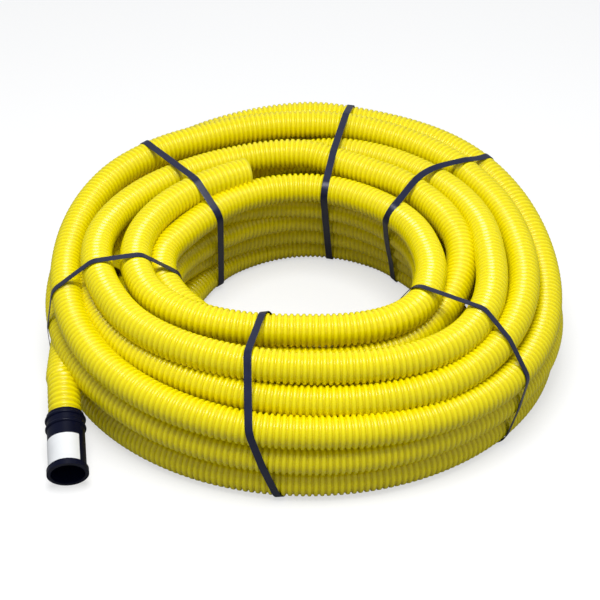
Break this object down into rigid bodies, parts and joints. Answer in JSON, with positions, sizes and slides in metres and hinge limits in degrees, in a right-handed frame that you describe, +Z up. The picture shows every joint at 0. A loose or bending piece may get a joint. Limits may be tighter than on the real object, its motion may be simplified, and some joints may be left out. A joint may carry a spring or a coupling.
{
  "type": "corrugated conduit coil",
  "caption": "coil of yellow corrugated cable conduit, laid flat and tied with black straps, with a black coupler on its free end",
  "frame": {"origin": "on the coil's axis, at the level of the floor it lies on", "axes": "+Z up along the coil's axis; the coupler's open mouth and the low front of the coil point toward -Y; the tail is on the -X side"},
  "size_m": [0.857, 0.857, 0.2526],
  "materials": {
    "conduit": "satin",
    "coupler": "satin",
    "label": "matte",
    "strap": "satin"
  },
  "bodies": {
    "root": {"conduit": "conduit", "coupler": "coupler", "coupler_label": "label", "strap_1": "strap", "strap_2": "strap", "strap_3": "strap", "strap_4": "strap", "strap_5": "strap", "strap_6": "strap"}
  },
  "joints": []
}
